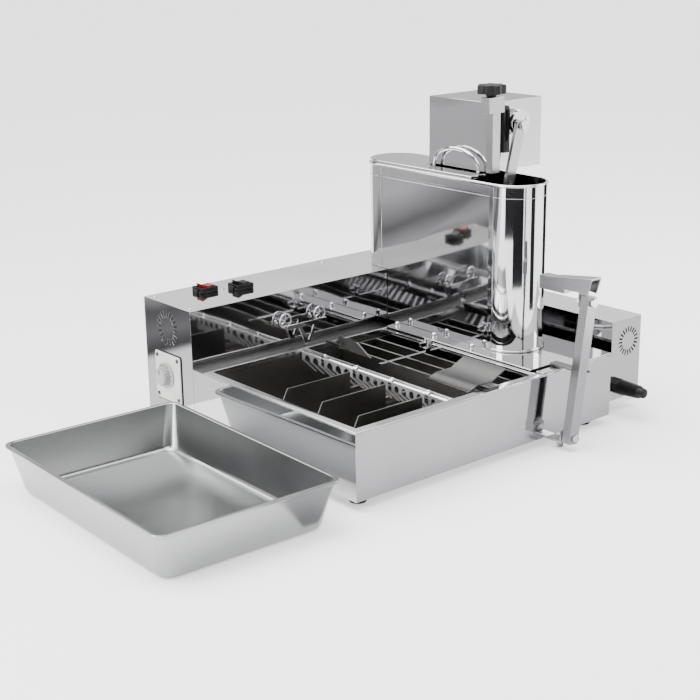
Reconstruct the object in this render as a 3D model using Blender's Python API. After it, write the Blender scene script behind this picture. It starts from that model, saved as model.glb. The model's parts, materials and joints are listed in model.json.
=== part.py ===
"""Counter-top donut maker: fryer tank with batter hopper, turner, pusher and control boxes.

The machine is laid out in millimetres from the tank's front left corner, with the floor at
zero: x runs along the tank towards the feed end, y from the front to the rear box, z up.
A root empty then puts the origin below the middle of the whole model.
"""
import math

import bmesh
import bpy
from mathutils import Matrix, Vector

MM = 0.001
GAP = 0.3          # clearance between touching pieces
ORIGIN = (159.9, 249.7, 0.0)

# Fryer tank
TANK_L = 567.0
TANK_W = 413.4
TANK_BASE = 15.0
TANK_TOP = 123.3
SHEET = 2.0
RIM_FRONT = 16.0
RIM_LEFT = 14.0
PAN_REAR = 382.0
PAN_FLOOR = 34.0
DECK_X = 399.0
LANE_REAR = 379.0
DIVIDERS = (63.7, 149.2, 236.6)
DIVIDER_TOP = 119.0
GUTTER = 112.0

# Rear control box and right drive box
REAR_Y0 = 413.9
REAR_Y1 = 551.6
REAR_X1 = 596.5
REAR_TOP = 220.0
REAR_BASE = 20.0
RIGHT_X0 = 597.7
RIGHT_X1 = 674.2
RIGHT_Y0 = 24.7
RIGHT_TOP = 167.7
VENT_LEFT = (483.9, 177.3, 30.7)
VENT_RIGHT = (641.4, 126.7, 25.6)
VENT_SLOTS = 20

# Hopper
HOP_X = 482.2
HOP_R = 51.0
HOP_Y0 = 147.4
HOP_Y1 = 439.0
HOP_TOP = 410.5
HOP_WALL = 1.6
NOZZLE_Y = (141.0, 213.0, 285.0, 357.0)
NOZZLE_R = 20.0
LID_TOP = 416.0

# Drive box above the hopper
BOX_X0 = 470.1
BOX_X1 = 599.7
BOX_Y0 = 201.5
BOX_Y1 = 345.0
BOX_Z0 = 418.0
BOX_Z1 = 535.0
CRANK = (533.0, 497.0)
CRANK_PIN = (523.5, 494.0)
CRANK_R = 22.0
ROD_FOOT = (499.0, 400.0)
ROD_HALF = 10.5

# Front rocker arm
ARM_Y = -40.0
ARM_FOOT = (422.0, 22.0)
ARM_HEAD = (455.0, 243.0)

# Turner and crank pair
TURNER = (205.0, 118.0)
COMB_EDGES = (RIM_FRONT, *DIVIDERS, 319.0, LANE_REAR)
TINE_W = 6.6
TINE_PITCH = 19.3
TINE_REACH = 38.0
EYE_Z = 171.0
EYE_X = (188.0, 263.0)
EYE_R = 13.5

# Catch tray
TRAY_CENTRE = (-196.0, 197.0)
TRAY_HALF = (153.0, 225.0)
TRAY_H = 76.0
TRAY_TURN = -1.5

SKINS = {}


def clear_scene():
    for old in list(bpy.data.objects):
        bpy.data.objects.remove(old, do_unlink=True)


def skin(name, rgb, metallic, roughness):
    material = bpy.data.materials.new(name)
    material.use_nodes = True
    shader = material.node_tree.nodes["Principled BSDF"]
    shader.inputs["Base Color"].default_value = (*rgb, 1.0)
    shader.inputs["Metallic"].default_value = metallic
    shader.inputs["Roughness"].default_value = roughness
    SKINS[name] = material


def make_skins():
    skin("polished_steel", (0.78, 0.78, 0.79), 1.0, 0.06)
    skin("satin_steel", (0.62, 0.62, 0.63), 1.0, 0.3)
    skin("chrome", (0.85, 0.85, 0.86), 1.0, 0.04)
    skin("dark_steel", (0.16, 0.16, 0.17), 1.0, 0.35)
    skin("black_plastic", (0.02, 0.02, 0.022), 0.0, 0.4)
    skin("red_plastic", (0.45, 0.02, 0.015), 0.0, 0.3)
    skin("white_plate", (0.8, 0.8, 0.78), 0.0, 0.4)
    skin("rubber", (0.02, 0.02, 0.02), 0.0, 0.8)
    skin("motor_paint", (0.1, 0.12, 0.13), 0.2, 0.5)


# ---- mesh helpers: every one returns a bmesh in millimetres -------------------------------

def block(x0, x1, y0, y1, z0, z1):
    bm = bmesh.new()
    bmesh.ops.create_cube(bm, size=1.0)
    for v in bm.verts:
        v.co.x = x1 if v.co.x > 0 else x0
        v.co.y = y1 if v.co.y > 0 else y0
        v.co.z = z1 if v.co.z > 0 else z0
    bm.normal_update()
    return bm


def rod(start, end, radius, segments=16, end_radius=None):
    start, end = Vector(start), Vector(end)
    run = end - start
    bm = bmesh.new()
    bmesh.ops.create_cone(bm, cap_ends=True, segments=segments, radius1=radius,
                          radius2=radius if end_radius is None else end_radius,
                          depth=run.length)
    turn = run.to_track_quat("Z", "Y").to_matrix().to_4x4()
    bm.transform(Matrix.Translation((start + end) / 2) @ turn)
    return bm


def prism(outline, low, high, axis="Z"):
    """Closed outline extruded between two levels of the given axis."""
    bm = bmesh.new()
    order = {"Z": lambda a, b, c: (a, b, c), "Y": lambda a, b, c: (a, c, b),
             "X": lambda a, b, c: (c, a, b)}[axis]
    base = [bm.verts.new(order(a, b, low)) for a, b in outline]
    face = bm.faces.new(base)
    grown = bmesh.ops.extrude_face_region(bm, geom=[face])
    step = Vector(order(0.0, 0.0, high - low))
    moved = [v for v in grown["geom"] if isinstance(v, bmesh.types.BMVert)]
    bmesh.ops.translate(bm, vec=step, verts=moved)
    bmesh.ops.recalc_face_normals(bm, faces=bm.faces)
    if bm.calc_volume(signed=True) < 0:
        bmesh.ops.reverse_faces(bm, faces=bm.faces)
    return bm


def arc(cx, cy, radius, start, end, steps):
    points = []
    for i in range(steps + 1):
        a = math.radians(start + (end - start) * i / steps)
        points.append((cx + radius * math.cos(a), cy + radius * math.sin(a)))
    return points


def stadium(radius, y0=HOP_Y0, y1=HOP_Y1, steps=14):
    rear = arc(HOP_X, y1, radius, 0, 180, steps)
    front = arc(HOP_X, y0, radius, 180, 360, steps)
    return rear + front


def rounded(cx, cy, hx, hy, radius, steps=5):
    corners = ((hx, hy, 0), (-hx, hy, 90), (-hx, -hy, 180), (hx, -hy, 270))
    points = []
    for sx, sy, a in corners:
        x = cx + math.copysign(abs(sx) - radius, sx)
        y = cy + math.copysign(abs(sy) - radius, sy)
        points += arc(x, y, radius, a, a + 90, steps)
    return points


def loft(rings):
    """Closed body through rings of (x, y, z) points, capped at both ends."""
    bm = bmesh.new()
    rows = [[bm.verts.new(p) for p in ring] for ring in rings]
    for lower, upper in zip(rows, rows[1:]):
        count = len(lower)
        for i in range(count):
            j = (i + 1) % count
            bm.faces.new((lower[i], lower[j], upper[j], upper[i]))
    bm.faces.new(list(reversed(rows[0])))
    bm.faces.new(rows[-1])
    bmesh.ops.recalc_face_normals(bm, faces=bm.faces)
    return bm


def tube_along(points, radius, sides=8):
    """Round bar swept along a polyline."""
    count = len(points)
    spots = [Vector(p) for p in points]
    rings = []
    normal = None
    for i, spot in enumerate(spots):
        before = spots[max(i - 1, 0)]
        after = spots[min(i + 1, count - 1)]
        along = (after - before).normalized()
        if normal is None:
            side = Vector((0, 0, 1)) if abs(along.z) < 0.9 else Vector((1, 0, 0))
            normal = along.cross(side).normalized()
        normal = (normal - along * normal.dot(along)).normalized()
        binormal = along.cross(normal)
        ring = []
        for k in range(sides):
            a = math.tau * k / sides
            ring.append(spot + radius * (math.cos(a) * normal + math.sin(a) * binormal))
        rings.append(ring)
    return loft(rings)


def sheet_box(x0, x1, y0, y1, z0, z1, wall, open_side):
    """Thin-walled box with one side open: 'top', 'bottom' or 'back'."""
    bm = block(x0, x1, y0, y1, z0, z1)
    way = {"top": Vector((0, 0, 1)), "bottom": Vector((0, 0, -1)),
           "back": Vector((0, 1, 0))}[open_side]
    face = max(bm.faces, key=lambda f: f.normal.dot(way))
    bmesh.ops.inset_region(bm, faces=[face], thickness=wall)
    span = {"top": z1 - z0, "bottom": z1 - z0, "back": y1 - y0}[open_side]
    grown = bmesh.ops.extrude_face_region(bm, geom=[face])
    moved = [v for v in grown["geom"] if isinstance(v, bmesh.types.BMVert)]
    bmesh.ops.translate(bm, vec=-way * (span - wall), verts=moved)
    bmesh.ops.delete(bm, geom=[face], context="FACES_ONLY")
    bmesh.ops.recalc_face_normals(bm, faces=bm.faces)
    return bm


# ---- objects -------------------------------------------------------------------------------

def raw(bm, name="tool"):
    mesh = bpy.data.meshes.new(name)
    bm.transform(Matrix.Scale(MM, 4))
    bm.to_mesh(mesh)
    bm.free()
    obj = bpy.data.objects.new(name, mesh)
    bpy.context.scene.collection.objects.link(obj)
    return obj


def combine(base, tools, operation):
    """Applies exact Booleans and removes the tool objects."""
    for tool in tools:
        step = base.modifiers.new(operation.lower(), "BOOLEAN")
        step.operation = operation
        step.solver = "EXACT"
        step.object = tool
    bpy.context.view_layer.update()
    graph = bpy.context.evaluated_depsgraph_get()
    result = bpy.data.meshes.new_from_object(base.evaluated_get(graph))
    base.modifiers.clear()
    base.data = result
    for tool in tools:
        bpy.data.objects.remove(tool, do_unlink=True)


def part(name, bodies, material, root, cuts=(), pivot=(0, 0, 0), smooth=None):
    """One named solid: bodies united, cuts removed, origin on its pivot."""
    obj = raw(bodies[0], name)
    if len(bodies) > 1:
        combine(obj, [raw(b) for b in bodies[1:]], "UNION")
    if cuts:
        combine(obj, [raw(c) for c in cuts], "DIFFERENCE")
    obj.data.materials.clear()
    obj.data.materials.append(SKINS[material])
    shift = Vector(pivot) * MM
    obj.data.transform(Matrix.Translation(-shift))
    obj.parent = root
    obj.location = shift
    if smooth:
        obj.data.shade_smooth()
        obj.data.set_sharp_from_angle(angle=math.radians(smooth))
    return obj


# ---- fryer ---------------------------------------------------------------------------------

def make_tank(root):
    casing_top = TANK_TOP - SHEET - GAP
    lowered = block(SHEET, TANK_L - SHEET, PAN_REAR + 2, TANK_W + 1, GUTTER, TANK_TOP)
    part("fryer_casing", [sheet_box(0, TANK_L, 0, TANK_W, TANK_BASE, casing_top, SHEET, "top")],
         "polished_steel", root, cuts=[lowered])

    rim_low = TANK_TOP - SHEET
    rim = block(0, TANK_L, 0, PAN_REAR, rim_low, TANK_TOP)
    tub = block(RIM_LEFT - SHEET, 560, RIM_FRONT - SHEET, PAN_REAR, PAN_FLOOR, rim_low + 1)
    hollow = block(RIM_LEFT, 558, RIM_FRONT, LANE_REAR, PAN_FLOOR + SHEET, TANK_TOP + 5)
    gutter = block(SHEET + GAP, TANK_L - SHEET - GAP, PAN_REAR - 1, TANK_W, GUTTER + GAP,
                   GUTTER + GAP + SHEET)
    part("oil_pan", [rim, tub, gutter], "polished_steel", root, cuts=[hollow])

    deck_low = TANK_TOP + GAP
    deck = block(DECK_X, TANK_L, 1, PAN_REAR, deck_low, deck_low + SHEET)
    feed = block(HOP_X - 36, HOP_X + 36, 118, PAN_REAR + 5, deck_low - 5, deck_low + 5)
    tab_slot = block(DECK_X - 5, 452, 17, 28, deck_low - 5, deck_low + 5)
    part("deck_plate", [deck], "satin_steel", root, cuts=[feed, tab_slot])

    chute_outline = [(RIM_LEFT + GAP, 117), (24, 117), (62, 92), (62, 90), (23, 115),
                     (RIM_LEFT + GAP, 115)]
    slots = [block(20, 70, y - 4, y + 4, 80, 125) for y in DIVIDERS]
    part("discharge_chute", [prism(chute_outline, RIM_FRONT + 1, LANE_REAR - 1, "Y")],
         "polished_steel", root, cuts=slots)

    for i, y in enumerate(DIVIDERS, 1):
        outline = [(44, 88), (60, DIVIDER_TOP), (190, DIVIDER_TOP), (190, 60), (44, 60)]
        part(f"lane_divider_{i}", [prism(outline, y - 0.9, y + 0.9, "Y")],
             "polished_steel", root)

    part("heating_element", [heater()], "dark_steel", root, smooth=50)
    bars = [block(389, 393, RIM_FRONT + GAP, LANE_REAR - GAP, 116, 122),
            block(396, 398.6, RIM_FRONT + GAP, LANE_REAR - GAP, 114, 122),
            block(388, 398.6, 150, 156, 112, 116), block(388, 398.6, 270, 276, 112, 116),
            block(389, 398, 150, 156, 114, 118), block(389, 398, 270, 276, 114, 118)]
    part("cross_bar", bars, "polished_steel", root)


def heater():
    """One tubular element laid in four long hairpins above the pan floor."""
    z, r = 46.0, 5.0
    x0, x1 = 60.0, 515.0
    rows = [52.0 + 40.0 * k for k in range(8)]
    points = []
    for k, y in enumerate(rows):
        run = (x0, x1) if k % 2 == 0 else (x1, x0)
        points += [(run[0], y, z), (run[1], y, z)]
        if k < len(rows) - 1:
            side = 1 if k % 2 == 0 else -1
            for a in (-60, -30, 0, 30, 60):
                points.append((run[1] + side * 20 * math.cos(math.radians(a)),
                               y + 20 + 20 * math.sin(math.radians(a)), z))
    return tube_along(points, r)


def make_guides(root):
    big = [(250, 121), (272, 128), (304, 128), (334, 142), (334, 144), (303, 130), (271, 130),
           (250, 123)]
    hanger = block(276, 298, 2, 60, TANK_TOP + GAP, 129)
    part("guide_plate", [prism(big, 22, 116, "Y"), hanger], "satin_steel", root)
    flap = [(258, 121), (260, 121), (269, 137), (267, 138)]
    tip = prism([(240, 100), (240, 160), (345, 150), (262, 121), (262, 100)], 240, 280, "X")
    hanger = block(258, 264, 345, PAN_REAR - 0.5, TANK_TOP + GAP, 127)
    part("guide_flap", [prism(flap, 262, 356, "Y"), hanger], "satin_steel", root, cuts=[tip])
    clamp = [block(349, 361, 224, 236, 121, 128), rod((355, 230, 126), (355, 230, 143), 3.5, 12),
             block(341, 369, 227.5, 232.5, 131, 138)]
    rail = block(250, 388.5, 227, 233, 118.5, 121.2)
    part("wing_clamp", [rail, *clamp], "chrome", root)


def make_turner(root):
    x, z = TURNER
    pivot = (x, 0, z)
    front, rear = RIM_FRONT + GAP, LANE_REAR - GAP
    bars = [rod((x, front, z), (x, rear, z), 4, 12), block(x + 5, x + 9, front, rear, z - 3, z + 4),
            block(x, x + 6, front + 6, front + 12, z - 2, z + 2),
            block(x, x + 6, rear - 12, rear - 6, z - 2, z + 2)]
    part("turner_shaft", bars, "chrome", root, pivot=pivot)
    for i, (low, high) in enumerate(zip(COMB_EDGES, COMB_EDGES[1:]), 1):
        width = high - low - 9
        centre = (low + high) / 2
        part(f"turner_comb_{i}", [comb_plate(centre, width)], "polished_steel", root,
             cuts=comb_gaps(centre, width), pivot=pivot)


def comb_plate(centre, width):
    """Strip that hangs down the shaft's discharge side and then bends towards the feed end."""
    x, z = TURNER
    near, far = x - 4 - GAP, x - 4 - GAP - SHEET
    bend = 12.0
    step = TINE_REACH - bend
    outline = [(far, z + 3), (near, z + 3), (near, z - bend + 1), (near + step, z - TINE_REACH + 1),
               (near + step - 1.4, z - TINE_REACH - 0.4), (far, z - bend)]
    return prism(outline, centre - width / 2, centre + width / 2, "Y")


def comb_gaps(centre, width):
    """Round-topped cutters that leave narrow tines in the strip."""
    x, z = TURNER
    tines = max(2, round((width - TINE_W) / TINE_PITCH) + 1)
    gap = (width - TINE_W * tines) / (tines - 1)
    cutters = []
    for k in range(tines - 1):
        middle = centre - width / 2 + TINE_W + gap / 2 + k * (TINE_W + gap)
        outline = arc(middle, z - 1 - gap / 2, gap / 2, 0, 180, 8)
        outline += [(middle - gap / 2, z - 60), (middle + gap / 2, z - 60)]
        cutters.append(prism(outline, x - 20, x + 60, "X"))
    return cutters


def make_pusher(root):
    """Ladder frame that steps the rings along the tank, with the tab that the arm moves."""
    z0, z1 = 106.0, 111.0
    sides = [block(280, 450, y, y + 4, z0, z1) for y in (RIM_FRONT + 3, LANE_REAR - 7)]
    flights = [block(x, x + 4, RIM_FRONT + 4, LANE_REAR - 4, 84, z1 - 1) for x in (292, 330, 368)]
    tab = [block(438, 448, RIM_FRONT + 3, RIM_FRONT + 7, z0, 131),
           block(438, 454, -24, RIM_FRONT + 7, 127.5, 131),
           block(450.2, 454, -50, -22, 127.5, 131)]
    part("pusher_frame", sides + flights + tab, "polished_steel", root)


# ---- boxes ---------------------------------------------------------------------------------

def vent_cutters(centre_a, centre_b, radius, wall_at, axis):
    cutters = []
    inner = radius * 0.62
    for k in range(VENT_SLOTS):
        a = math.tau * k / VENT_SLOTS
        slot = block(inner, radius, -1.6, 1.6, -6, 6)
        slot.transform(Matrix.Rotation(a, 4, "Z"))
        if axis == "X":
            slot.transform(Matrix(((0, 0, 1, wall_at), (1, 0, 0, centre_a),
                                   (0, 1, 0, centre_b), (0, 0, 0, 1))))
        else:
            slot.transform(Matrix(((1, 0, 0, centre_a), (0, 0, -1, wall_at),
                                   (0, 1, 0, centre_b), (0, 0, 0, 1))))
        cutters.append(slot)
    return cutters


def fan(centre, radius, axis):
    """Hub with five flat blades."""
    hub = rod((0, 0, -5), (0, 0, 5), radius * 0.3, 12)
    bodies = [hub]
    for k in range(5):
        blade = block(radius * 0.2, radius, -radius * 0.22, radius * 0.22, -0.9, 0.9)
        blade.transform(Matrix.Rotation(math.radians(28), 4, "X"))
        blade.transform(Matrix.Rotation(math.tau * k / 5, 4, "Z"))
        bodies.append(blade)
    turn = Matrix.Rotation(math.radians(90), 4, "Y" if axis == "X" else "X")
    for b in bodies:
        b.transform(Matrix.Translation(centre) @ turn)
    return bodies


def make_rear_box(root):
    shell = sheet_box(0, REAR_X1, REAR_Y0, REAR_Y1, REAR_BASE, REAR_TOP, SHEET, "back")
    vy, vz, vr = VENT_LEFT
    part("rear_housing", [shell], "polished_steel", root,
         cuts=vent_cutters(vy, vz, vr, 1.0, "X"))
    part("rear_cover", [block(0, REAR_X1, REAR_Y1 + GAP, REAR_Y1 + GAP + 1.5, REAR_BASE,
                              REAR_TOP)], "satin_steel", root)
    part("left_fan", fan((16, vy, vz), 26, "X"), "black_plastic", root, pivot=(16, vy, vz))
    plate = prism(rounded(485.5, 91.5, 37.5, 41.5, 4, 3), -2.3, -GAP, "X")
    part("thermostat_plate", [plate], "white_plate", root)
    dial = [rod((-2.6, 491, 93.5), (-6, 491, 93.5), 23, 28),
            rod((-5.5, 491, 93.5), (-17, 491, 93.5), 16, 24, 14)]
    part("thermostat_dial", dial, "white_plate", root, pivot=(-10, 491, 93.5), smooth=40)
    switches = ((97, 510, "red_plastic"), (155, 486, "black_plastic"))
    for i, (x, y, colour) in enumerate(switches, 1):
        base = REAR_TOP + GAP
        bezel = [block(x - 17, x + 17, y - 15, y + 15, base, base + 9)]
        well = [block(x - 13, x + 13, y - 11, y + 11, base + 3, base + 12)]
        part(f"switch_bezel_{i}", bezel, "black_plastic", root, cuts=well)
        top = [(x - 12, base + 15), (x, base + 10), (x + 12, base + 11), (x + 9, base + 5.7),
               (x - 9, base + 5.7)]
        part(f"switch_rocker_{i}", [prism(top, y - 10, y + 10, "Y")], colour, root,
             pivot=(x, y, base + 7))


def make_right_box(root):
    vx, vz, vr = VENT_RIGHT
    shell = sheet_box(RIGHT_X0, RIGHT_X1, RIGHT_Y0, REAR_Y1, TANK_BASE, RIGHT_TOP, SHEET, "back")
    part("right_housing", [shell], "polished_steel", root,
         cuts=vent_cutters(vx, vz, vr, RIGHT_Y0 + 1, "Y"))
    part("right_cover", [block(RIGHT_X0, RIGHT_X1, REAR_Y1 + GAP, REAR_Y1 + GAP + 1.5,
                               TANK_BASE, RIGHT_TOP)], "satin_steel", root)
    part("right_fan", fan((vx, RIGHT_Y0 + 16, vz), 22, "Y"), "black_plastic", root,
         pivot=(vx, RIGHT_Y0 + 16, vz))
    motor = [rod((636, 150, 90), (636, 270, 90), 30, 20), block(608, 664, 270, 330, 60, 120),
             block(612, 660, 180, 240, 17.3, 64)]
    part("conveyor_motor", motor, "motor_paint", root, smooth=40)
    y0 = RIGHT_Y0 - GAP
    gland = [rod((617, y0, 50), (617, y0 - 10, 50), 15, 6),
             rod((617, y0 - 9, 50), (617, y0 - 52, 50), 13.5, 18, 12),
             rod((617, y0 - 51, 50), (617, y0 - 60, 50), 10, 18, 8)]
    part("cable_gland", gland, "black_plastic", root, smooth=40)
    part("link_bracket", [block(TANK_L + GAP, RIGHT_X0 - GAP, 60, 380, TANK_BASE, TANK_BASE + 3),
                          block(TANK_L + GAP, TANK_L + 3, 60, 380, TANK_BASE, 60),
                          block(RIGHT_X0 - 3, RIGHT_X0 - GAP, 60, 380, TANK_BASE, 60)],
         "satin_steel", root)


def make_feet(root):
    spots = ((30, 32), (535, 32), (30, 520), (560, 520))
    for i, (x, y) in enumerate(spots, 1):
        top = (REAR_BASE if y > REAR_Y0 else TANK_BASE) - GAP
        part(f"foot_{i}", [rod((x, y, 0), (x, y, top), 13, 20, 15)], "rubber", root, smooth=40)


# ---- hopper --------------------------------------------------------------------------------

def make_hopper(root):
    low = TANK_TOP + GAP + SHEET + GAP
    outer = prism(stadium(HOP_R), low, HOP_TOP)
    inner = prism(stadium(HOP_R - HOP_WALL), low - 5, HOP_TOP + 5)
    notch = block(HOP_X - 80, HOP_X + 80, TANK_W - 0.6, 600, 0, REAR_TOP + GAP)
    part("hopper_shell", [outer], "polished_steel", root, cuts=[inner, notch], smooth=35)

    floor_outline = stadium(HOP_R - HOP_WALL - GAP, HOP_Y0, 410 - HOP_R + HOP_WALL)
    bodies = [prism(floor_outline, low, low + 3)]
    cuts = []
    for y in NOZZLE_Y:
        bodies.append(rod((HOP_X, y, 98), (HOP_X, y, low + 12), NOZZLE_R, 20))
        cuts.append(rod((HOP_X, y, 90), (HOP_X, y, low + 20), NOZZLE_R - 3, 20))
    part("nozzle_plate", bodies, "satin_steel", root, cuts=cuts, smooth=35)

    lid = prism(stadium(HOP_R), HOP_TOP + GAP, LID_TOP)
    clear = [block(BOX_X0 - 2.5, 560, 100, BOX_Y1 + 3, 400, 430),
             block(400, 560, 60, BOX_Y0 + 2, 400, 430)]
    part("hopper_lid", [lid], "polished_steel", root, cuts=clear,
         pivot=(450, 330, HOP_TOP), smooth=35)
    bow = [(460.5, 215, LID_TOP + GAP)]
    bow += [(460.5, 268.5 - 53.5 * math.cos(math.radians(a)),
             LID_TOP + 6 + 31 * math.sin(math.radians(a))) for a in range(0, 181, 18)]
    bow += [(460.5, 322, LID_TOP + GAP)]
    part("lid_handle", [tube_along(bow, 3.2, 10)], "chrome", root,
         pivot=(450, 330, HOP_TOP), smooth=50)


def make_plungers(root):
    yoke = [block(HOP_X - 9, HOP_X + 9, 138, 385, 358, 370),
            block(HOP_X + 8, HOP_X + 34, 174, 190, 358, 370)]
    for y in NOZZLE_Y:
        yoke.append(rod((HOP_X, y, 131), (HOP_X, y, 360), 5, 12))
        yoke.append(rod((HOP_X, y, 118), (HOP_X, y, 134), NOZZLE_R - 3.6, 20))
    part("plunger_set", yoke, "chrome", root, pivot=(HOP_X, 260, 364), smooth=35)


# ---- drive box -----------------------------------------------------------------------------

def make_drive_box(root):
    cx, cz = CRANK
    shell = sheet_box(BOX_X0, BOX_X1, BOX_Y0, BOX_Y1, BOX_Z0, BOX_Z1, SHEET, "bottom")
    bore = rod((cx, BOX_Y0 - 5, cz), (cx, BOX_Y0 + 5, cz), 9, 20)
    part("drive_box_shell", [shell], "polished_steel", root, cuts=[bore])
    column = block(538, 564, 262, 322, TANK_TOP + SHEET + 2 * GAP, BOX_Z0 - GAP)
    part("support_column", [column], "satin_steel", root)
    motor = [block(cx - 28, cx + 28, 232, 290, cz - 30, cz + 28),
             rod((cx, 288, cz), (cx, 338, cz), 26, 20),
             block(cx - 20, cx + 20, 240, 282, BOX_Z0 + 2.8, cz - 28)]
    part("gear_motor", motor, "motor_paint", root, smooth=40)

    pivot = (cx, 190, cz)
    px, pz = CRANK_PIN
    disc = [rod((cx, 186, cz), (cx, 193, cz), CRANK_R, 28),
            rod((cx, 192, cz), (cx, 231.5, cz), 6, 16),
            rod((px, 172, pz), (px, 187, pz), 4, 12), rod((px, 169, pz), (px, 175, pz), 7, 6)]
    part("crank_disc", disc, "chrome", root, pivot=pivot, smooth=35)
    fx, fz = ROD_FOOT
    lean = Vector((fx - px, 0, fz - pz))
    side = Vector((lean.z, 0, -lean.x)).normalized()
    outline = []
    for end, start in (((px, pz), math.atan2(side.z, side.x)),
                       ((fx, fz), math.atan2(-side.z, -side.x))):
        degrees = math.degrees(start)
        outline += arc(end[0], end[1], ROD_HALF, degrees, degrees - 180, 8)
    hole = rod((px, 170, pz), (px, 190, pz), 4.4, 12)
    eye = rod((fx, 170, fz), (fx, 190, fz), 4.4, 12)
    part("connecting_rod", [prism(outline, 177, 183, "Y")], "satin_steel", root,
         cuts=[hole, eye], pivot=(px, 180, pz), smooth=35)

    face = BOX_Y0 - GAP
    post = [block(465, 484, 187, face, LID_TOP + 2, 520), block(451, 487, 181, face, 519, 546)]
    part("adjusting_post", post, "satin_steel", root)
    knob = [rod((466, 192, 546.3), (466, 192, 553), 9, 16), prism(star(466, 192, 25, 7), 551, 566)]
    part("star_knob", knob, "black_plastic", root, pivot=(466, 192, 552), smooth=35)
    slotted = arc(509, 520, 7.5, 0, 180, 8) + [(501.5, 448), (516.5, 448)]
    slot = arc(509, 518, 3.2, 0, 180, 6) + arc(509, 470, 3.2, 180, 360, 6)
    part("slotted_bar", [prism(slotted, 196.5, face, "Y")], "black_plastic", root,
         cuts=[prism(slot, 190, 205, "Y")])


def star(cx, cy, radius, lobes):
    points = []
    for k in range(lobes * 6):
        a = math.tau * k / (lobes * 6)
        reach = radius * (0.88 + 0.12 * math.cos(lobes * a))
        points.append((cx + reach * math.cos(a), cy + reach * math.sin(a)))
    return points


# ---- front rocker arm and rear cranks ------------------------------------------------------

def make_arm(root):
    fx, fz = ARM_FOOT
    hx, hz = ARM_HEAD
    run = Vector((hx - fx, 0, hz - fz))
    along = run.normalized()
    across = Vector((along.z, 0, -along.x))
    centre = Vector((fx, 0, fz))
    corners = ((-10, -10.5), (-10, 10.5), (run.length + 9, 10.5), (run.length + 9, -10.5))
    outline = []
    for a, b in corners:
        spot = centre + along * a + across * b
        outline.append((spot.x, spot.z))
    bar = prism(outline, ARM_Y - 8, ARM_Y + 8, "Y")
    holes = [rod((x, ARM_Y - 20, z), (x, ARM_Y + 20, z), 4.4, 12) for x, z in (ARM_FOOT, ARM_HEAD)]
    groove = []
    for a, b in ((14, -7), (14, 7), (run.length - 14, 7), (run.length - 14, -7)):
        spot = centre + along * a + across * b
        groove.append((spot.x, spot.z))
    holes.append(prism(groove, ARM_Y - 4, ARM_Y + 12, "Y"))
    part("rocker_arm", [bar], "satin_steel", root, cuts=holes, pivot=(fx, ARM_Y, fz))

    ear = prism(rounded(fx, fz, 12, 12, 8, 3), ARM_Y + 9, ARM_Y + 12.5, "Y")
    foot = [ear, block(fx - 10, fx + 10, ARM_Y + 9, 60, 10.5, TANK_BASE - GAP),
            rod((fx, ARM_Y + 22, 1), (fx, ARM_Y + 22, 12), 6, 12)]
    part("arm_bracket", foot, "satin_steel", root,
         cuts=[rod((fx, ARM_Y, fz), (fx, ARM_Y + 20, fz), 4.4, 12)])
    part("arm_pivot_bolt", [rod((fx, ARM_Y - 10, fz), (fx, ARM_Y + 17, fz), 4, 12),
                            rod((fx, ARM_Y - 14, fz), (fx, ARM_Y - 8.3, fz), 6.8, 6),
                            rod((fx, ARM_Y + 12.8, fz), (fx, ARM_Y + 18, fz), 6.8, 6)],
         "chrome", root)

    top = hz + 41
    web = prism([(-54, top - 3), (-54, top), (30, top - 11), (30, top - 14)], hx - 12.5,
                hx + 12.5, "X")
    cheeks = [prism([(-54, top - 2), (30, top - 13), (30, top - 26), (-28, top - 26),
                     (-46, top - 28)], x, x + 3, "X") for x in (hx - 12.5, hx + 9.5)]
    lug = block(hx - 10.5, hx + 10.5, ARM_Y + 9, ARM_Y + 12.5, hz - 9, top - 4)
    shoe = block(hx - 10.5, hx + 10.5, 2, 56, top - 34, top - 12)
    part("carrier_link", [web, *cheeks, lug, shoe], "satin_steel", root,
         cuts=[rod((hx, ARM_Y, hz), (hx, ARM_Y + 20, hz), 4.4, 12)], pivot=(hx, ARM_Y, hz))
    part("arm_head_bolt", [rod((hx, ARM_Y - 10, hz), (hx, ARM_Y + 17, hz), 4, 12),
                           rod((hx, ARM_Y - 14, hz), (hx, ARM_Y - 8.3, hz), 8, 6),
                           rod((hx, ARM_Y + 12.8, hz), (hx, ARM_Y + 18, hz), 8, 6)],
         "chrome", root, pivot=(hx, ARM_Y, hz))


def make_eye_cranks(root):
    wall = REAR_Y0 - GAP
    for name, x in zip(("crank_ring_left", "crank_ring_right"), EYE_X):
        bodies = [rod((x, 402, EYE_Z), (x, 406, EYE_Z), EYE_R, 24),
                  rod((x, 405, EYE_Z), (x, wall, EYE_Z), 4, 12),
                  rod((x, 399, EYE_Z), (x, 403, EYE_Z), 4, 12)]
        part(name, bodies, "chrome", root, pivot=(x, 404, EYE_Z), smooth=35)
    low = EYE_Z - 9.5
    pins = [rod((x, 392, low), (x, 401.7, low), 2.5, 10) for x in EYE_X]
    left, right = EYE_X
    bar = block(left - 6, right + 6, 391, 394, low - 4, low + 4)
    middle = (left + right) / 2
    stay = prism([(left + 18, low - 2), (left + 25, low - 2), (middle + 2, low - 30),
                  (right - 22, low - 2), (right - 15, low - 2), (middle + 4, low - 38),
                  (middle - 4, low - 38)], 391, 394, "Y")
    part("coupling_rod", [bar, stay, *pins], "chrome", root, pivot=(left, 404, low))


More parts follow.
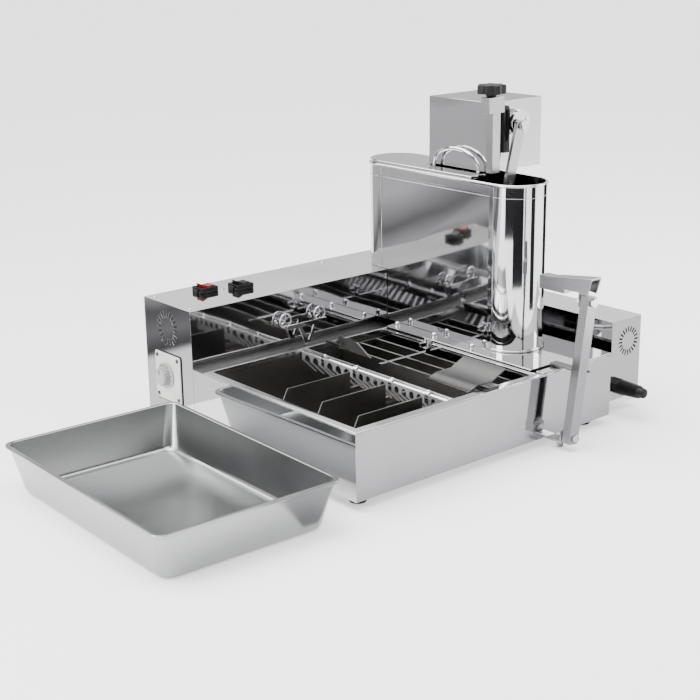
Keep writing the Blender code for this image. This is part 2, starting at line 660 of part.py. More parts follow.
def make_tray(root):
    cx, cy = TRAY_CENTRE
    hx, hy = TRAY_HALF

    def ring(inset, z, radius):
        outline = rounded(0, 0, hx - inset, hy - inset, radius, 6)
        turn = Matrix.Rotation(math.radians(TRAY_TURN), 3, "Z")
        points = []
        for a, b in outline:
            spot = turn @ Vector((a, b, 0))
            points.append((spot.x + cx, spot.y + cy, z))
        return points

    rings = [ring(26, 0, 18), ring(20, 3, 20), ring(17, 9, 21), ring(5, TRAY_H - 4, 15),
             ring(0, TRAY_H - 4, 17), ring(0, TRAY_H, 17), ring(6.5, TRAY_H, 14),
             ring(18.5, 10, 20), ring(21.5, 5, 19), ring(27.5, 2, 17)]
    part("catch_tray", [loft(rings)], "satin_steel", root,
         pivot=(cx, cy, 0), smooth=35)


def main():
    clear_scene()
    make_skins()
    root = bpy.data.objects.new("donut_maker", None)
    bpy.context.scene.collection.objects.link(root)
    root.location = Vector(ORIGIN) * -MM
    make_tank(root)
    make_guides(root)
    make_turner(root)
    make_pusher(root)
    make_rear_box(root)
    make_right_box(root)
    make_feet(root)
    make_hopper(root)
    make_plungers(root)
    make_drive_box(root)
    make_arm(root)
    make_eye_cranks(root)
    make_tray(root)


main()
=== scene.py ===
import json
import math

import bmesh
import bpy
from mathutils import Matrix, Vector


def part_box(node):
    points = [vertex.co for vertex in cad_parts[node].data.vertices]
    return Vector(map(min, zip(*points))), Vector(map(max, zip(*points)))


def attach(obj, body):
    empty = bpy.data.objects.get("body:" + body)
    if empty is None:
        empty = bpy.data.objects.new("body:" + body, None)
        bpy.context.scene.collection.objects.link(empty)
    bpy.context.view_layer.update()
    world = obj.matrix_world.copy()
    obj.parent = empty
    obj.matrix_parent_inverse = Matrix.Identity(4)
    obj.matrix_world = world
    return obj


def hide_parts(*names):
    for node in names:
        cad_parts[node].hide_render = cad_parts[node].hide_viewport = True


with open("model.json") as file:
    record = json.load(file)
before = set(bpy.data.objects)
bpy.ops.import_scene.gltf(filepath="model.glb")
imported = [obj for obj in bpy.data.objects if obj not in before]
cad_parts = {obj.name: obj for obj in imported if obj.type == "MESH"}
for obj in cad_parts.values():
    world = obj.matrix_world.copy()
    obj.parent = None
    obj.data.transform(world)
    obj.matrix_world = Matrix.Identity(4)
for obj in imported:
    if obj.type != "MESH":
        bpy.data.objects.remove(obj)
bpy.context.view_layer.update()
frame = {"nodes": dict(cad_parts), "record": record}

MM = 0.001
# The tank's front left corner on the floor: positions below are millimetres from it.
FLOOR_TO_CASING = 15.0
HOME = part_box("fryer_casing")[0] - Vector((0, 0, FLOOR_TO_CASING * MM))

HOPPER_X = 482.2
HOPPER_ENDS = (147.4, 439.0)    # centres of the two round ends
HOPPER_FACE = 430.4             # the long face on the lanes' side
DECK_TOP = 125.6
CRANK_XZ = (533, 497)
CRANK_FRONT = 186
TURNER_XZ = (205, 118)
EYE_Y, EYE_Z = 404, 171
PAN_RIM = 119


def at(x, y, z):
    return HOME + Vector((x, y, z)) * MM


# ---- camera, floor and light ---------------------------------------------------------------

CAMERA_AT = (-1219.0, -1437.8, 824.9)
CAMERA_PAN = 40.1
CAMERA_TILT = 17.0
CAMERA_ROLL = -0.78
CAMERA_LENS = 72.0


def make_camera():
    data = bpy.data.cameras.new("camera")
    data.lens = CAMERA_LENS
    data.sensor_width = 36.0
    data.clip_end = 200.0
    camera = bpy.data.objects.new("camera", data)
    turn = (Matrix.Rotation(math.radians(-CAMERA_PAN), 4, "Z")
            @ Matrix.Rotation(math.radians(90 - CAMERA_TILT), 4, "X")
            @ Matrix.Rotation(math.radians(CAMERA_ROLL), 4, "Z"))
    camera.matrix_world = Matrix.Translation(at(*CAMERA_AT)) @ turn
    bpy.context.scene.collection.objects.link(camera)
    bpy.context.scene.camera = camera


def plain_material(name, colour, roughness):
    """Faintly mottled matt surface for the floor and the studio cards."""
    material = bpy.data.materials.new(name)
    material.use_nodes = True
    tree = material.node_tree
    shader = tree.nodes["Principled BSDF"]
    shader.inputs["Roughness"].default_value = roughness
    shader.inputs["Specular IOR Level"].default_value = 0.0
    coords = tree.nodes.new("ShaderNodeTexCoord")
    noise = tree.nodes.new("ShaderNodeTexNoise")
    noise.inputs["Scale"].default_value = 2.0
    ramp = tree.nodes.new("ShaderNodeValToRGB")
    ramp.color_ramp.elements[0].color = (*[c * 0.97 for c in colour], 1)
    ramp.color_ramp.elements[1].color = (*colour, 1)
    tree.links.new(coords.outputs["Object"], noise.inputs["Vector"])
    tree.links.new(noise.outputs["Fac"], ramp.inputs["Fac"])
    tree.links.new(ramp.outputs["Color"], shader.inputs["Base Color"])
    return material


def flat_card(name, corners, material):
    mesh = bpy.data.meshes.new(name)
    mesh.from_pydata([tuple(at(*c)) for c in corners], [], [tuple(range(len(corners)))])
    card = bpy.data.objects.new(name, mesh)
    card.data.materials.append(material)
    bpy.context.scene.collection.objects.link(card)
    return card


def graded_material(name, axis, stops):
    """Matt card whose grey changes along one axis; stops are (millimetres, grey)."""
    material = bpy.data.materials.new(name)
    material.use_nodes = True
    tree = material.node_tree
    shader = tree.nodes["Principled BSDF"]
    shader.inputs["Roughness"].default_value = 0.9
    shader.inputs["Specular IOR Level"].default_value = 0.0
    coords = tree.nodes.new("ShaderNodeTexCoord")
    split = tree.nodes.new("ShaderNodeSeparateXYZ")
    span = tree.nodes.new("ShaderNodeMapRange")
    ramp = tree.nodes.new("ShaderNodeValToRGB")
    first, last = stops[0][0], stops[-1][0]
    shift = getattr(HOME, axis.lower())
    span.inputs["From Min"].default_value = first * MM + shift
    span.inputs["From Max"].default_value = last * MM + shift
    for i, (place, grey) in enumerate(stops):
        if i == 0:
            stop = ramp.color_ramp.elements[0]
        elif i == len(stops) - 1:
            stop = ramp.color_ramp.elements[-1]
        else:
            stop = ramp.color_ramp.elements.new(0.5)
        stop.position = (place - first) / (last - first)
        stop.color = (grey, grey, grey * 1.02, 1)
    tree.links.new(coords.outputs["Object"], split.inputs[0])
    tree.links.new(split.outputs[axis], span.inputs["Value"])
    tree.links.new(span.outputs["Result"], ramp.inputs["Fac"])
    tree.links.new(ramp.outputs["Color"], shader.inputs["Base Color"])
    return material


def area_light(name, place, target, size, power):
    data = bpy.data.lights.new(name, "AREA")
    data.shape = "RECTANGLE"
    data.size, data.size_y = size
    data.energy = power
    lamp = bpy.data.objects.new(name, data)
    aim = (at(*target) - at(*place)).to_track_quat("-Z", "Y").to_matrix().to_4x4()
    lamp.matrix_world = Matrix.Translation(at(*place)) @ aim
    bpy.context.scene.collection.objects.link(lamp)


FLAG_CENTRE = (482.0, 147.0)
FLAG_STEP = 6                   # degrees between the corners of a round edge
FLOOR_HALF = 30000
CARD_Z = 1


def floor_sector(name, near, far, start, end, material, height):
    """Card on the floor round the hopper's front, between two bearings in degrees."""
    cx, cy = FLAG_CENTRE
    steps = max(2, round(abs(end - start) / FLAG_STEP))
    corners = []
    for radius, first, last in ((near, start, end), (far, end, start)):
        for i in range(steps + 1):
            a = math.radians(first + (last - first) * i / steps)
            corners.append((cx + radius * math.cos(a), cy + radius * math.sin(a), height))
    return flat_card(name, corners, material)


def floor_rectangle(name, x0, x1, y0, y1, z, material):
    return flat_card(name, [(x0, y0, z), (x1, y0, z), (x1, y1, z), (x0, y1, z)], material)


def make_floor_and_cards():
    """A glowing paper floor, and cards on it that only show in the steel's reflections."""
    paper = plain_material("floor_paper", (0.93, 0.93, 0.93), 0.7)
    glow = paper.node_tree.nodes["Principled BSDF"]
    glow.inputs["Emission Color"].default_value = (1, 1, 1, 1)
    glow.inputs["Emission Strength"].default_value = 0.58
    floor = floor_rectangle("floor", -FLOOR_HALF, FLOOR_HALF, -FLOOR_HALF, FLOOR_HALF, 0, paper)
    floor.location.z = -0.0002
    dark = plain_material("flag_cloth", (0.012, 0.012, 0.013), 0.9)
    grey = plain_material("flag_grey", (0.1, 0.1, 0.102), 0.9)
    behind = graded_material("card_behind", "Y",
                             ((560, 0.55), (845, 0.5), (880, 0.03), (1000, 0.09), (1150, 0.05),
                              (1300, 0.2), (1500, 0.07), (1950, 0.3), (2600, 0.12), (3400, 0.4),
                              (4600, 0.5)))
    near = graded_material("card_near", "X", ((-150, 0.42), (500, 0.5), (1300, 0.36)))
    cards = [
        floor_sector("flag_far", 1500, 2600, 184, 216, dark, 1.0),
        floor_sector("flag_left", 960, 2600, 216, 254, dark, 1.0),
        floor_sector("flag_line", 760, 2600, 284, 302, dark, 1.2),
        floor_sector("flag_front", 900, 2600, 258, 263, grey, 1.4),
        floor_sector("flag_right", 620, 2400, 352, 400, dark, 1.6),
        floor_rectangle("card_front", -100, 1300, -470, -20, CARD_Z, near),
        floor_rectangle("card_rear", -4200, 330, 560, 4600, CARD_Z, behind),
    ]
    for card in cards:
        card.visible_camera = False
        card.visible_shadow = False
        card.visible_diffuse = False
        card.visible_transmission = False


def make_sky():
    """A sky graded by height: what the upright and the level faces mirror."""
    world = bpy.data.worlds.new("studio")
    bpy.context.scene.world = world
    world.use_nodes = True
    tree = world.node_tree
    sky = tree.nodes["Background"]
    coords = tree.nodes.new("ShaderNodeTexCoord")
    split = tree.nodes.new("ShaderNodeSeparateXYZ")
    ramp = tree.nodes.new("ShaderNodeValToRGB")
    stops = ((0.0, 0.5), (0.18, 0.75), (0.26, 1.3), (0.34, 1.3), (0.44, 0.25), (0.66, 0.12),
             (0.85, 0.8), (1.0, 1.1))
    ramp.color_ramp.elements[0].position = stops[0][0]
    ramp.color_ramp.elements[0].color = (stops[0][1],) * 3 + (1,)
    ramp.color_ramp.elements[1].position = stops[-1][0]
    ramp.color_ramp.elements[1].color = (stops[-1][1],) * 3 + (1,)
    for place, level in stops[1:-1]:
        stop = ramp.color_ramp.elements.new(place)
        stop.color = (level, level, level, 1)
    tree.links.new(coords.outputs["Generated"], split.inputs[0])
    tree.links.new(split.outputs["Z"], ramp.inputs["Fac"])
    tree.links.new(ramp.outputs["Color"], sky.inputs["Color"])
    sky.inputs["Strength"].default_value = 1.3


def make_lights():
    sun = bpy.data.lights.new("soft_sun", "SUN")
    sun.energy = 4.6
    sun.angle = math.radians(55)
    lamp = bpy.data.objects.new("soft_sun", sun)
    lamp.matrix_world = Matrix.Rotation(math.radians(-28), 4, "X") @ Matrix.Rotation(
        math.radians(-14), 4, "Y")
    bpy.context.scene.collection.objects.link(lamp)
    area_light("key_top", (100, -300, 2300), (250, 200, 0), (2.6, 2.0), 60)
    area_light("side_left", (-1900, 500, 1100), (150, 200, 150), (1.0, 1.6), 45)
    area_light("side_right", (2200, -900, 1200), (450, 200, 150), (1.2, 1.4), 40)


# ---- materials -----------------------------------------------------------------------------

MOTTLE_SPREAD = 0.25            # how far the roughness drifts, as a share of itself
DEEP_ROUGHNESS = 0.32


def metal(name, colour, roughness, wave=0.0, grain=0.0, stretch=(1, 1, 1), painted_shade_below=None):
    """Steel or chrome: mottled roughness, slow sheet waviness and fine surface grain.

    The last argument, a (level, colour) pair, paints shade under that height: a darker colour for
    the shaded inside of a deep pan, and a duller finish.
    """
    material = bpy.data.materials.new(name)
    material.use_nodes = True
    tree = material.node_tree
    shader = tree.nodes["Principled BSDF"]
    shader.inputs["Metallic"].default_value = 1.0
    coords = tree.nodes.new("ShaderNodeTexCoord")
    link = tree.links.new

    mottle = tree.nodes.new("ShaderNodeTexNoise")
    mottle.inputs["Scale"].default_value = 9.0
    mottle.inputs["Detail"].default_value = 5.0
    link(coords.outputs["Object"], mottle.inputs["Vector"])
    tint = tree.nodes.new("ShaderNodeValToRGB")
    tint.color_ramp.elements[0].position = 0.3
    tint.color_ramp.elements[0].color = (*[c * 0.93 for c in colour], 1)
    tint.color_ramp.elements[1].position = 0.7
    tint.color_ramp.elements[1].color = (*colour, 1)
    link(mottle.outputs["Fac"], tint.inputs["Fac"])
    paint = tint.outputs["Color"]
    # Painted shade: under the level the base colour is mixed to the darker shade colour.
    if painted_shade_below:
        level, shade = painted_shade_below
        split = tree.nodes.new("ShaderNodeSeparateXYZ")
        link(coords.outputs["Object"], split.inputs[0])
        step = tree.nodes.new("ShaderNodeMapRange")
        step.inputs["From Min"].default_value = level - 0.004
        step.inputs["From Max"].default_value = level
        link(split.outputs["Z"], step.inputs["Value"])
        mix = tree.nodes.new("ShaderNodeMix")
        mix.data_type = "RGBA"
        mix.inputs["A"].default_value = (*shade, 1)
        link(step.outputs["Result"], mix.inputs["Factor"])
        link(paint, mix.inputs["B"])
        paint = mix.outputs["Result"]
    link(paint, shader.inputs["Base Color"])

    blur = tree.nodes.new("ShaderNodeMapRange")
    blur.inputs["To Min"].default_value = roughness * (1 - MOTTLE_SPREAD)
    blur.inputs["To Max"].default_value = roughness * (1 + MOTTLE_SPREAD)
    link(mottle.outputs["Fac"], blur.inputs["Value"])
    if painted_shade_below:
        soften = tree.nodes.new("ShaderNodeMix")
        soften.inputs["A"].default_value = DEEP_ROUGHNESS
        link(step.outputs["Result"], soften.inputs["Factor"])
        link(blur.outputs["Result"], soften.inputs["B"])
        link(soften.outputs["Result"], shader.inputs["Roughness"])
    else:
        link(blur.outputs["Result"], shader.inputs["Roughness"])

    normal = None
    for scale, depth, detail, squeeze in ((6.0, wave, 1.0, (1, 1, 1)),
                                          (700.0, grain, 2.0, stretch)):
        if not depth:
            continue
        place = tree.nodes.new("ShaderNodeMapping")
        place.inputs["Scale"].default_value = squeeze
        link(coords.outputs["Object"], place.inputs["Vector"])
        noise = tree.nodes.new("ShaderNodeTexNoise")
        noise.inputs["Scale"].default_value = scale
        noise.inputs["Detail"].default_value = detail
        link(place.outputs["Vector"], noise.inputs["Vector"])
        bump = tree.nodes.new("ShaderNodeBump")
        bump.inputs["Strength"].default_value = 1.0
        bump.inputs["Distance"].default_value = depth
        link(noise.outputs["Fac"], bump.inputs["Height"])
        if normal:
            link(normal, bump.inputs["Normal"])
        normal = bump.outputs["Normal"]
    if normal:
        link(normal, shader.inputs["Normal"])
    return material


def moulded(name, colour, roughness, grain=0.00006, coat=0.0, shine=0.5):
    """Moulded plastic, rubber or enamel: slight colour drift and a fine texture."""
    material = bpy.data.materials.new(name)
    material.use_nodes = True
    tree = material.node_tree
    shader = tree.nodes["Principled BSDF"]
    shader.inputs["Coat Weight"].default_value = coat
    shader.inputs["Specular IOR Level"].default_value = shine
    coords = tree.nodes.new("ShaderNodeTexCoord")
    link = tree.links.new
    cloud = tree.nodes.new("ShaderNodeTexNoise")
    cloud.inputs["Scale"].default_value = 30.0
    link(coords.outputs["Object"], cloud.inputs["Vector"])
    tint = tree.nodes.new("ShaderNodeValToRGB")
    tint.color_ramp.elements[0].color = (*[c * 0.8 for c in colour], 1)
    tint.color_ramp.elements[1].color = (*[min(1, c * 1.15) for c in colour], 1)
    link(cloud.outputs["Fac"], tint.inputs["Fac"])
    link(tint.outputs["Color"], shader.inputs["Base Color"])
    blur = tree.nodes.new("ShaderNodeMapRange")
    blur.inputs["To Min"].default_value = roughness * 0.85
    blur.inputs["To Max"].default_value = roughness * 1.15
    link(cloud.outputs["Fac"], blur.inputs["Value"])
    link(blur.outputs["Result"], shader.inputs["Roughness"])
    fine = tree.nodes.new("ShaderNodeTexNoise")
    fine.inputs["Scale"].default_value = 900.0
    link(coords.outputs["Object"], fine.inputs["Vector"])
    bump = tree.nodes.new("ShaderNodeBump")
    bump.inputs["Distance"].default_value = grain
    link(fine.outputs["Fac"], bump.inputs["Height"])
    link(bump.outputs["Normal"], shader.inputs["Normal"])
    return material


def make_looks():
    rim = at(0, 0, PAN_RIM).z
    return {
        "polished_steel": metal("look_polished", (0.60, 0.60, 0.61), 0.05, wave=0.0012),
        # Painted shade: below the rim the pan's colour drops to 0.2, standing in for the shade of
        # its deep inside.
        "pan_steel": metal("look_pan", (0.70, 0.70, 0.71), 0.16, wave=0.001,
                           painted_shade_below=(rim, (0.20, 0.195, 0.19))),
        "wet_steel": metal("look_wet", (0.22, 0.216, 0.21), 0.30, wave=0.001),
        "comb_steel": metal("look_comb", (0.85, 0.85, 0.86), 0.42, wave=0.0005),
        "satin_steel": metal("look_satin", (0.42, 0.42, 0.43), 0.24, grain=0.00002,
                             stretch=(1, 14, 14)),
        "tray_steel": metal("look_tray", (0.355, 0.36, 0.362), 0.20, wave=0.0012, grain=0.00002,
                            stretch=(10, 10, 1)),
        "guide_steel": metal("look_guide", (0.085, 0.083, 0.08), 0.2, wave=0.0015),
        "chrome": metal("look_chrome", (0.74, 0.74, 0.75), 0.06, wave=0.0002),
        "dark_steel": metal("look_dark", (0.11, 0.105, 0.10), 0.35, grain=0.00003),
        "black_plastic": moulded("look_black", (0.006, 0.006, 0.0065), 0.42, shine=0.25),
        "red_plastic": moulded("look_red", (0.16, 0.006, 0.008), 0.25, shine=0.3),
        "dial_white": moulded("look_dial", (0.34, 0.34, 0.335), 0.25, coat=0.5),
        "white_plate": moulded("look_white", (0.62, 0.62, 0.60), 0.35, coat=0.2),
        "rubber": moulded("look_rubber", (0.008, 0.008, 0.008), 0.75, grain=0.0002, shine=0.2),
        "motor_paint": moulded("look_motor", (0.09, 0.11, 0.12), 0.45),
    }


LOOKS = make_looks()


# ---- pieces --------------------------------------------------------------------------------

NODE_BODY = {node: body for body, nodes in frame["record"]["behaviour"]["bodies"].items()
             for node in nodes}
NODE_SLOT = {s["node"]: s["material_slot"] for s in frame["record"]["subparts"]}


def add_piece(name, bm, body, look, smooth=35, bevel=0.0, replaced=()):
    """Links a bmesh in metres as a piece that rides on a body."""
    mesh = bpy.data.meshes.new(name)
    bmesh.ops.recalc_face_normals(bm, faces=bm.faces)
    bm.to_mesh(mesh)
    bm.free()
    mesh.materials.append(LOOKS[look])
    piece = bpy.data.objects.new(name, mesh)
    bpy.context.scene.collection.objects.link(piece)
    if bevel:
        soft = piece.modifiers.new("edge", "BEVEL")
        soft.width = bevel * MM
        soft.segments = 2
        soft.limit_method = "ANGLE"
        soft.angle_limit = math.radians(32)
        soft.harden_normals = False
    mesh.shade_smooth()
    mesh.set_sharp_from_angle(angle=math.radians(smooth))
    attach(piece, body)
    if replaced:
        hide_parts(*replaced)
    return piece


def refine(node, look=None, bevel=0.5, smooth=35):
    """A copy of a CAD node with its flat faces joined and its edges softly rounded."""
    bm = bmesh.new()
    bm.from_mesh(frame["nodes"][node].data)
    bmesh.ops.remove_doubles(bm, verts=bm.verts, dist=0.00002)
    bmesh.ops.dissolve_limit(bm, angle_limit=math.radians(1.0), verts=bm.verts, edges=bm.edges,
                             use_dissolve_boundaries=False)
    slot = NODE_SLOT[node]
    return add_piece(node + "_piece", bm, NODE_BODY[node], look or slot, smooth=smooth,
                     bevel=bevel, replaced=(node,))


def tube(bm, points, radius, sides=10, closed=True):
    """Adds a round bar along millimetre points to a bmesh in metres."""
    spots = [at(*p) for p in points]
    count = len(spots)
    rings = []
    normal = None
    for i, spot in enumerate(spots):
        before = spots[i - 1] if closed or i else spot
        after = spots[(i + 1) % count] if closed or i < count - 1 else spot
        along = (after - before).normalized()
        if normal is None:
            side = Vector((0, 0, 1)) if abs(along.z) < 0.9 else Vector((1, 0, 0))
            normal = along.cross(side).normalized()
        normal = (normal - along * normal.dot(along)).normalized()
        other = along.cross(normal)
        rings.append([bm.verts.new(spot + radius * MM * (math.cos(a) * normal + math.sin(a) * other))
                      for a in (math.tau * k / sides for k in range(sides))])
    pairs = list(zip(rings, rings[1:]))
    if closed:
        pairs.append((rings[-1], rings[0]))
    for low, high in pairs:
        for k in range(sides):
            n = (k + 1) % sides
            bm.faces.new((low[k], low[n], high[n], high[k]))
    if not closed:
        bm.faces.new(list(reversed(rings[0])))
        bm.faces.new(rings[-1])


def turned(bm, profile, centre, axis, sides=24):
    """Adds a body of revolution: profile is (distance along the axis, radius) in millimetres."""
    along = {"X": Vector((1, 0, 0)), "Y": Vector((0, 1, 0)), "Z": Vector((0, 0, 1))}[axis]
    across = Vector((0, 0, 1)) if axis != "Z" else Vector((1, 0, 0))
    other = along.cross(across)
    home = at(*centre)
    rings = []
    for step, radius in profile:
        rings.append([bm.verts.new(home + along * step * MM
                                   + radius * MM * (math.cos(a) * across + math.sin(a) * other))
                      for a in (math.tau * k / sides for k in range(sides))])
    for low, high in zip(rings, rings[1:]):
        for k in range(sides):
            n = (k + 1) % sides
            bm.faces.new((low[k], low[n], high[n], high[k]))
    bm.faces.new(list(reversed(rings[0])))
    bm.faces.new(rings[-1])


def slab(bm, x0, x1, y0, y1, z0, z1):
    low, high = at(x0, y0, z0), at(x1, y1, z1)
    for v in bmesh.ops.create_cube(bm, size=1.0)["verts"]:
        v.co = Vector([high[i] if v.co[i] > 0 else low[i] for i in range(3)])


def plate(bm, outline, low, high, axis):
    """Adds a flat plate with the outline in the other two axes, in millimetres."""
    order = {"Z": lambda a, b, c: (a, b, c), "Y": lambda a, b, c: (a, c, b),
             "X": lambda a, b, c: (c, a, b)}[axis]
    base = [bm.verts.new(at(*order(a, b, low))) for a, b in outline]
    top = [bm.verts.new(at(*order(a, b, high))) for a, b in outline]
    count = len(outline)
    for i in range(count):
        j = (i + 1) % count
        bm.faces.new((base[i], base[j], top[j], top[i]))
    bm.faces.new(list(reversed(base)))
    bm.faces.new(top)


def round_outline(cx, cy, hx, hy, radius, steps=6, turn=0.0):
    points = []
    c, d = math.cos(math.radians(turn)), math.sin(math.radians(turn))
    for sx, sy, start in ((1, 1, 0), (-1, 1, 90), (-1, -1, 180), (1, -1, 270)):
        for i in range(steps + 1):
            a = math.radians(start + 90 * i / steps)
            x = sx * (hx - radius) + radius * math.cos(a)
            y = sy * (hy - radius) + radius * math.sin(a)
            points.append((cx + x * c - y * d, cy + x * d + y * c))
    return points


def hopper_outline(radius, steps=28):
    points = []
    for y, start in ((HOPPER_ENDS[1], 0), (HOPPER_ENDS[0], 180)):
        for i in range(steps + 1):
            a = math.radians(start + 180 * i / steps)
            points.append((HOPPER_X + radius * math.cos(a), y + radius * math.sin(a)))
    return points


def screw_profile(radius, height):
    return [(0, radius), (height * 0.55, radius), (height * 0.9, radius * 0.8),
            (height, radius * 0.35)]


def add_screws():
    """Pan-head screws on the two boxes, cap nuts on the deck, screws in the dial's plate."""
    rear_top, right_top = 220, 167.7
    places = [(12, 430, rear_top), (12, 536, rear_top), (380, 536, rear_top),
              (125, 498, rear_top)]
    places += [(x, y, right_top) for y in (60, 300, 530) for x in (610, 662)]
    bm = bmesh.new()
    for place in places:
        turned(bm, screw_profile(3.2, 1.7), place, "Z", 14)
    add_piece("box_screws", bm, "base", "chrome", smooth=50)

    bm = bmesh.new()
    for y in (369, 272.5, 179):
        dome = [(0, 5.4), (0.9, 5.4), (1.0, 4.5), (4.0, 4.5), (5.8, 4.1), (7.3, 2.8), (7.9, 1.1)]
        turned(bm, dome, (415, y, DECK_TOP), "Z", 18)
    add_piece("deck_cap_nuts", bm, "base", "chrome", smooth=40)

    bm = bmesh.new()
    for y in (456, 516):
        for z in (57, 126):
            turned(bm, [(0, 3.4), (-1.2, 3.4), (-1.8, 2.2)], (-2.3, y, z), "X", 14)
    add_piece("plate_screws", bm, "base", "dark_steel", smooth=40)


def add_hopper_trim():
    bm = bmesh.new()
    tube(bm, [(x, y, 408.3) for x, y in hopper_outline(51.6)], 2.1, 10)
    add_piece("hopper_rim", bm, "base", "chrome", smooth=60)
    bm = bmesh.new()
    for y0, y1 in ((149, 159), (428, 438)):
        foot = 224 if y0 > 400 else 126.5
        slab(bm, HOPPER_FACE, HOPPER_FACE + 1.0, y0, y1, foot, 405)
    slab(bm, HOPPER_FACE + 0.1, HOPPER_FACE + 0.9, 149, 438, 392, 405)
    add_piece("hopper_straps", bm, "base", "polished_steel", bevel=0.3)
    bm = bmesh.new()
    tube(bm, [(x, y, 388.0) for x, y in hopper_outline(51.15)], 0.6, 6)
    tube(bm, [(x, y, 127.6) for x, y in hopper_outline(51.8) if y < 412], 1.9, 8, closed=False)
    add_piece("hopper_seams", bm, "base", "polished_steel", smooth=60)


def add_tray_rim():
    bm = bmesh.new()
    bead = 2.4
    outline = round_outline(-196, 197, 153 - bead, 225 - bead, 15, 8, -1.5)
    tube(bm, [(x, y, 73.3) for x, y in outline], bead, 12)
    add_piece("tray_rolled_rim", bm, "tray", "tray_steel", smooth=60)


def add_dial():
    cy, cz = 491, 93.5
    bm = bmesh.new()
    turned(bm, [(-2.6, 23), (-4.6, 23), (-5.6, 21.5), (-6.0, 20)], (0, cy, cz), "X", 48)
    turned(bm, [(-5.8, 15.6), (-12, 14.8), (-15.6, 14.2), (-16.8, 12.5), (-17, 9)], (0, cy, cz),
           "X", 40)
    for k in range(20):
        a = math.tau * k / 20
        y, z = cy + 15.0 * math.cos(a), cz + 15.0 * math.sin(a)
        turned(bm, [(-6, 1.3), (-14.5, 1.2), (-15.2, 0.7)], (0, y, z), "X", 8)
    add_piece("dial_body", bm, "dial", "dial_white", smooth=35,
              replaced=("thermostat_dial",))
    bm = bmesh.new()
    for k in range(11):
        a = math.radians(-45 + 27 * k)
        c, d = math.cos(a), math.sin(a)
        width = 0.6 if k % 2 else 0.9
        corners = []
        for r, side in ((17.4, -1), (20.2, -1), (20.2, 1), (17.4, 1)):
            corners.append((cy + r * c - side * width * d, cz + r * d + side * width * c))
        plate(bm, corners, -6.25, -5.7, "X")
    add_piece("dial_marks", bm, "dial", "black_plastic")
    bm = bmesh.new()
    plate(bm, [(cy - 1.2, cz + 4), (cy + 1.2, cz + 4), (cy + 1.2, cz + 13), (cy - 1.2, cz + 13)],
          -17.0, -16.4, "X")
    add_piece("dial_pointer", bm, "dial", "red_plastic")
    bm = bmesh.new()
    plate(bm, round_outline(485.5, 91.5, 39.5, 43.5, 5, 5), -1.1, -0.1, "X")
    add_piece("plate_gasket", bm, "base", "black_plastic")


def add_switch_parts():
    for i, (x, y) in enumerate(((97, 510), (155, 486)), 1):
        bm = bmesh.new()
        for side in (-1, 1):
            slab(bm, x + side * 16.5, x + side * 21.5, y - 6, y + 6, 220.3, 226.5)
        plate(bm, [(x - 19, y - 12), (x - 12, y - 17), (x + 12, y - 17), (x + 19, y - 12),
                   (x + 19, y + 12), (x + 12, y + 17), (x - 12, y + 17), (x - 19, y + 12)],
              220.2, 223.4, "Z")
        add_piece(f"switch_boot_{i}", bm, "base", "black_plastic", bevel=0.8)


def add_vent_liners():
    bm = bmesh.new()
    turned(bm, [(0.7, 36), (1.3, 36)], (0, 483.9, 177.3), "X", 36)
    turned(bm, [(0.7, 30), (1.3, 30)], (641.4, 24.7, 126.7), "Y", 36)
    add_piece("vent_liners", bm, "base", "rubber")


def add_eye_rings():
    for name, body, x in (("left", "ring_left", 188.0), ("right", "ring_right", 263.0)):
        bm = bmesh.new()
        circle = [(x + 11.7 * math.cos(a), EYE_Y, EYE_Z + 11.7 * math.sin(a))
                  for a in (math.tau * k / 40 for k in range(40))]
        tube(bm, circle, 1.9, 10)
        turned(bm, [(-5, 3.6), (-1.5, 3.6), (-1.4, 5.2), (0.2, 5.2), (0.3, 3.9), (9.6, 3.9)],
               (x, EYE_Y, EYE_Z), "Y", 18)
        turned(bm, [(-2.4, 3.2), (1.6, 3.2)], (x, EYE_Y, EYE_Z - 9.5), "Y", 14)
        for a in (90, 210, 330):
            c, d = math.cos(math.radians(a)), math.sin(math.radians(a))
            spoke = [(x + r * c, EYE_Y, EYE_Z + r * d) for r in (3, 11)]
            tube(bm, spoke, 1.3, 8, closed=False)
        add_piece(f"eye_ring_{name}", bm, body, "chrome", smooth=50,
                  replaced=(f"crank_ring_{name}",))


def add_gland():
    centre = (617, 0, 50)
    bm = bmesh.new()
    turned(bm, [(24.4, 15), (15.5, 15), (15, 13.6)], centre, "Y", 6)
    profile = []
    for k in range(13):
        start = 15.5 - 3.1 * k
        radius = 13.4 - 0.17 * k
        profile += [(start, radius - 1.4), (start - 0.5, radius), (start - 1.9, radius),
                    (start - 2.4, radius - 1.4)]
    profile += [(-26, 9.6), (-34.5, 8.2), (-35.3, 7)]
    turned(bm, profile, centre, "Y", 28)
    add_piece("gland_ribbed", bm, "base", "black_plastic", smooth=40,
              replaced=("cable_gland",))


def add_crank_trim():
    x, z = CRANK_XZ
    bm = bmesh.new()
    for k in range(3):
        a = math.radians(20 + 120 * k)
        centre = (x + 14.5 * math.cos(a), CRANK_FRONT, z + 14.5 * math.sin(a))
        turned(bm, [(0.2, 3.4), (-1.4, 3.4), (-2.2, 2.6)], centre, "Y", 6)
    turned(bm, [(0.2, 9), (-0.9, 8.6), (-1.0, 5.5), (-2.6, 5.2)], (x, CRANK_FRONT, z), "Y", 24)
    add_piece("crank_hub_bolts", bm, "crank", "chrome", smooth=35)
    bm = bmesh.new()
    turned(bm, [(0, 15.5), (-1.3, 15.5), (-1.9, 14.5)], (x, 201.5, z), "Y", 32)
    add_piece("crank_boss", bm, "base", "satin_steel", smooth=40)


def add_turner_trim():
    x, z = TURNER_XZ
    bm = bmesh.new()
    for y in (319, 236.6, 149.2, 63.7):
        turned(bm, [(-4, 6.2), (-3.6, 6.6), (3.6, 6.6), (4, 6.2)], (x, y, z), "Y", 18)
        turned(bm, [(0, 2.6), (7.6, 2.6), (8.4, 1.8)], (x, y, z), "Z", 8)
    add_piece("turner_collars", bm, "turner", "chrome", smooth=40)


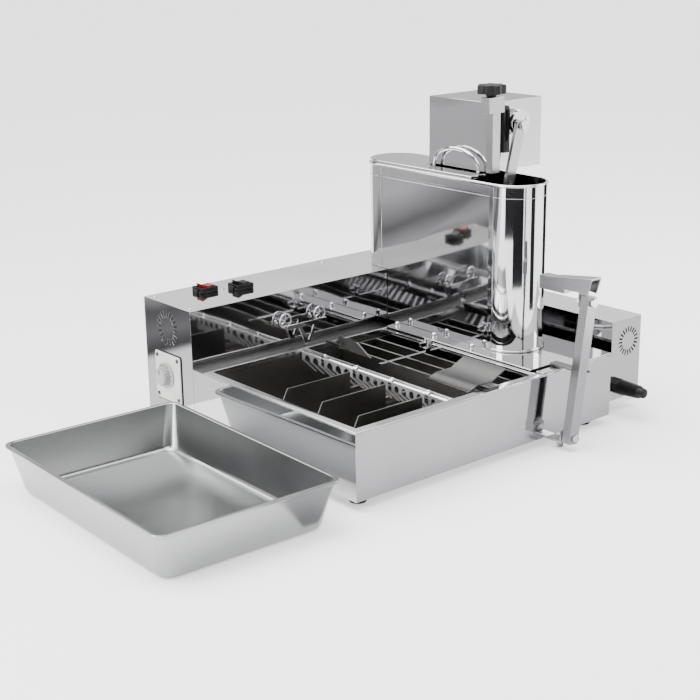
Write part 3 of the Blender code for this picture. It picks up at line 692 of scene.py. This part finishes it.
# How each CAD node is refined: its edge rounding in millimetres, and its look where that
# isn't the one its material slot names.
REFINED = {
    "fryer_casing": {"bevel": 0.7}, "oil_pan": {"look": "pan_steel", "bevel": 0.8},
    "deck_plate": {"look": "polished_steel", "bevel": 0.5}, "discharge_chute": {"bevel": 0.3},
    **{f"lane_divider_{k}": {"look": "wet_steel", "bevel": 0.3} for k in range(1, 4)},
    "heating_element": {"bevel": 0}, "cross_bar": {"bevel": 0.4},
    "guide_plate": {"look": "guide_steel", "bevel": 0.4},
    "guide_flap": {"look": "guide_steel", "bevel": 0.4}, "wing_clamp": {"bevel": 0.4},
    "turner_shaft": {"bevel": 0.3},
    **{f"turner_comb_{k}": {"look": "comb_steel", "bevel": 0.25} for k in range(1, 6)},
    "pusher_frame": {"look": "wet_steel", "bevel": 0.3},
    "rear_housing": {"bevel": 0.15}, "rear_cover": {"bevel": 0.4},
    "right_housing": {"bevel": 0.15}, "right_cover": {"bevel": 0.4},
    "thermostat_plate": {"bevel": 0.3},
    "switch_bezel_1": {"bevel": 0.8}, "switch_bezel_2": {"bevel": 0.8},
    "switch_rocker_1": {"bevel": 0.8}, "switch_rocker_2": {"bevel": 0.8},
    "left_fan": {"bevel": 0.3}, "right_fan": {"bevel": 0.3}, "conveyor_motor": {"bevel": 1.5},
    "link_bracket": {"bevel": 0.4},
    **{f"foot_{k}": {"bevel": 1.2} for k in range(1, 5)},
    "hopper_shell": {"bevel": 0.4}, "nozzle_plate": {"bevel": 0.3}, "hopper_lid": {"bevel": 1.2},
    "lid_handle": {"bevel": 0}, "plunger_set": {"bevel": 0.4}, "drive_box_shell": {"bevel": 0.9},
    "support_column": {"bevel": 1.5}, "gear_motor": {"bevel": 1.5}, "crank_disc": {"bevel": 0.6},
    "connecting_rod": {"bevel": 0.5},
    "adjusting_post": {"bevel": 0.8}, "star_knob": {"bevel": 1.5}, "slotted_bar": {"bevel": 0.4},
    "rocker_arm": {"bevel": 0.8}, "arm_bracket": {"bevel": 0.5}, "arm_pivot_bolt": {"bevel": 0.5},
    "arm_head_bolt": {"bevel": 0.5}, "carrier_link": {"bevel": 0.5},
    "coupling_rod": {"bevel": 0.4}, "catch_tray": {"look": "tray_steel", "bevel": 1.0},
}


make_camera()
make_floor_and_cards()
make_sky()
make_lights()
for node, options in REFINED.items():
    refine(node, **options)
add_screws()
add_hopper_trim()
add_tray_rim()
add_dial()
add_switch_parts()
add_vent_liners()
add_eye_rings()
add_gland()
add_crank_trim()
add_turner_trim()
